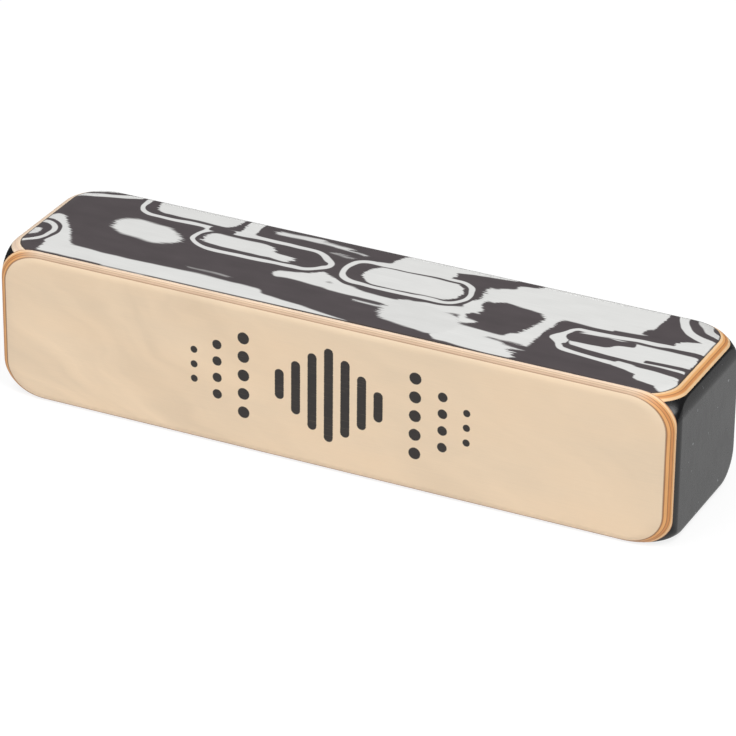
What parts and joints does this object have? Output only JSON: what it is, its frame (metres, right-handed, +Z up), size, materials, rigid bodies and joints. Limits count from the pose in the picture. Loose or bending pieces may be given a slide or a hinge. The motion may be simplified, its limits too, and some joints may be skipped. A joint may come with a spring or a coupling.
{
  "type": "double shaker",
  "caption": "Hand-held wooden shaker: a rounded black block with two bead chambers, closed by a birch plate on the front and a figured veneer plate on top.",
  "frame": {"origin": "centre of the underside", "axes": "+X along the block, to the right seen from the front; the birch front plate faces -Y; +Z up, through the veneered top plate"},
  "size_m": [0.2, 0.0478, 0.0448],
  "materials": {
    "black_wood": "satin black, through-dyed or painted, with pale specks",
    "birch_veneer": "pale birch, clear satin lacquer",
    "core_ply": "orange brown end grain, lacquered",
    "pale_ply": "pale end grain, lacquered",
    "swirl_veneer": "black and white figured veneer, clear satin lacquer",
    "steel_bead": "polished steel",
    "pale_bead": "smooth off-white"
  },
  "bodies": {
    "block": {"body_block": "black_wood", "front_birch_veneer": "birch_veneer", "front_core_ply": "core_ply", "front_back_ply": "pale_ply", "top_swirl_veneer": "swirl_veneer", "top_upper_ply": "pale_ply", "top_core_ply": "core_ply", "top_lower_ply": "pale_ply"},
    "left_bead_01": {"left_bead_01": "steel_bead"},
    "left_bead_02": {"left_bead_02": "steel_bead"},
    "left_bead_03": {"left_bead_03": "steel_bead"},
    "left_bead_04": {"left_bead_04": "steel_bead"},
    "left_bead_05": {"left_bead_05": "steel_bead"},
    "left_bead_06": {"left_bead_06": "steel_bead"},
    "left_bead_07": {"left_bead_07": "steel_bead"},
    "left_bead_08": {"left_bead_08": "steel_bead"},
    "left_bead_09": {"left_bead_09": "steel_bead"},
    "left_bead_10": {"left_bead_10": "steel_bead"},
    "left_bead_11": {"left_bead_11": "steel_bead"},
    "left_bead_12": {"left_bead_12": "steel_bead"},
    "right_bead_01": {"right_bead_01": "pale_bead"},
    "right_bead_02": {"right_bead_02": "pale_bead"},
    "right_bead_03": {"right_bead_03": "pale_bead"},
    "right_bead_04": {"right_bead_04": "pale_bead"},
    "right_bead_05": {"right_bead_05": "pale_bead"},
    "right_bead_06": {"right_bead_06": "pale_bead"},
    "right_bead_07": {"right_bead_07": "pale_bead"},
    "right_bead_08": {"right_bead_08": "pale_bead"},
    "right_bead_09": {"right_bead_09": "pale_bead"},
    "right_bead_10": {"right_bead_10": "pale_bead"},
    "right_bead_11": {"right_bead_11": "pale_bead"},
    "right_bead_12": {"right_bead_12": "pale_bead"},
    "right_bead_13": {"right_bead_13": "pale_bead"},
    "right_bead_14": {"right_bead_14": "pale_bead"},
    "right_bead_15": {"right_bead_15": "pale_bead"},
    "right_bead_16": {"right_bead_16": "pale_bead"}
  },
  "joints": [
    {"name": "left_bead_01_travel", "type": "slide", "parent": "block", "child": "left_bead_01", "axis": [0, 1, 0], "range_m": [-0.0177, 0.0177]},
    {"name": "left_bead_02_travel", "type": "slide", "parent": "block", "child": "left_bead_02", "axis": [0, 1, 0], "range_m": [-0.02607, 0.00933]},
    {"name": "left_bead_03_travel", "type": "slide", "parent": "block", "child": "left_bead_03", "axis": [0, 1, 0], "range_m": [-0.00536, 0.03004]},
    {"name": "left_bead_04_travel", "type": "slide", "parent": "block", "child": "left_bead_04", "axis": [0, 1, 0], "range_m": [-0.02753, 0.00787]},
    {"name": "left_bead_05_travel", "type": "slide", "parent": "block", "child": "left_bead_05", "axis": [0, 1, 0], "range_m": [-0.01554, 0.01986]},
    {"name": "left_bead_06_travel", "type": "slide", "parent": "block", "child": "left_bead_06", "axis": [0, 1, 0], "range_m": [-0.01105, 0.02435]},
    {"name": "left_bead_07_travel", "type": "slide", "parent": "block", "child": "left_bead_07", "axis": [0, 1, 0], "range_m": [-0.02966, 0.00574]},
    {"name": "left_bead_08_travel", "type": "slide", "parent": "block", "child": "left_bead_08", "axis": [0, 1, 0], "range_m": [-0.0067, 0.0287]},
    {"name": "left_bead_09_travel", "type": "slide", "parent": "block", "child": "left_bead_09", "axis": [0, 1, 0], "range_m": [-0.02195, 0.01345]},
    {"name": "left_bead_10_travel", "type": "slide", "parent": "block", "child": "left_bead_10", "axis": [0, 1, 0], "range_m": [-0.02242, 0.01298]},
    {"name": "left_bead_11_travel", "type": "slide", "parent": "block", "child": "left_bead_11", "axis": [0, 1, 0], "range_m": [-0.00648, 0.02892]},
    {"name": "left_bead_12_travel", "type": "slide", "parent": "block", "child": "left_bead_12", "axis": [0, 1, 0], "range_m": [-0.02952, 0.00588]},
    {"name": "right_bead_01_travel", "type": "slide", "parent": "block", "child": "right_bead_01", "axis": [0, 1, 0], "range_m": [-0.0182, 0.0182]},
    {"name": "right_bead_02_travel", "type": "slide", "parent": "block", "child": "right_bead_02", "axis": [0, 1, 0], "range_m": [-0.02681, 0.00959]},
    {"name": "right_bead_03_travel", "type": "slide", "parent": "block", "child": "right_bead_03", "axis": [0, 1, 0], "range_m": [-0.00551, 0.03089]},
    {"name": "right_bead_04_travel", "type": "slide", "parent": "block", "child": "right_bead_04", "axis": [0, 1, 0], "range_m": [-0.02831, 0.00809]},
    {"name": "right_bead_05_travel", "type": "slide", "parent": "block", "child": "right_bead_05", "axis": [0, 1, 0], "range_m": [-0.01598, 0.02042]},
    {"name": "right_bead_06_travel", "type": "slide", "parent": "block", "child": "right_bead_06", "axis": [0, 1, 0], "range_m": [-0.01136, 0.02504]},
    {"name": "right_bead_07_travel", "type": "slide", "parent": "block", "child": "right_bead_07", "axis": [0, 1, 0], "range_m": [-0.0305, 0.0059]},
    {"name": "right_bead_08_travel", "type": "slide", "parent": "block", "child": "right_bead_08", "axis": [0, 1, 0], "range_m": [-0.00689, 0.02951]},
    {"name": "right_bead_09_travel", "type": "slide", "parent": "block", "child": "right_bead_09", "axis": [0, 1, 0], "range_m": [-0.02257, 0.01383]},
    {"name": "right_bead_10_travel", "type": "slide", "parent": "block", "child": "right_bead_10", "axis": [0, 1, 0], "range_m": [-0.02306, 0.01334]},
    {"name": "right_bead_11_travel", "type": "slide", "parent": "block", "child": "right_bead_11", "axis": [0, 1, 0], "range_m": [-0.00666, 0.02974]},
    {"name": "right_bead_12_travel", "type": "slide", "parent": "block", "child": "right_bead_12", "axis": [0, 1, 0], "range_m": [-0.03036, 0.00604]},
    {"name": "right_bead_13_travel", "type": "slide", "parent": "block", "child": "right_bead_13", "axis": [0, 1, 0], "range_m": [-0.01181, 0.02459]},
    {"name": "right_bead_14_travel", "type": "slide", "parent": "block", "child": "right_bead_14", "axis": [0, 1, 0], "range_m": [-0.01547, 0.02093]},
    {"name": "right_bead_15_travel", "type": "slide", "parent": "block", "child": "right_bead_15", "axis": [0, 1, 0], "range_m": [-0.02862, 0.00778]},
    {"name": "right_bead_16_travel", "type": "slide", "parent": "block", "child": "right_bead_16", "axis": [0, 1, 0], "range_m": [-0.00556, 0.03084]}
  ]
}
